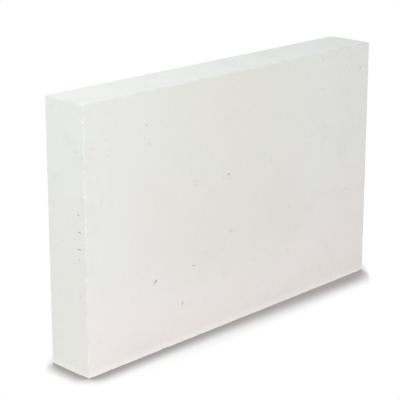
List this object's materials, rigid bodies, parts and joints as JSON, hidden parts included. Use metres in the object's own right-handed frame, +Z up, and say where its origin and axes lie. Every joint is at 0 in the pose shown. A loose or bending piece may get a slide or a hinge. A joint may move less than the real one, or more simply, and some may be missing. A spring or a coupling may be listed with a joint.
{
  "type": "aerated concrete block",
  "caption": "Thin rectangular partition block of white aerated concrete with flat wire-cut faces, open pores and rubbed arrises, laid in thin-bed mortar.",
  "frame": {"origin": "middle of the lower bed face, which rests on the floor", "axes": "+X along the course (length), +Y through the wall (thickness) towards the back wall face, +Z up (course height)"},
  "size_m": [0.625, 0.08, 0.4],
  "materials": {
    "aerated_concrete": "matte white, wire-cut, with fine open pores"
  },
  "bodies": {
    "root": {"block": "aerated_concrete"}
  },
  "joints": []
}
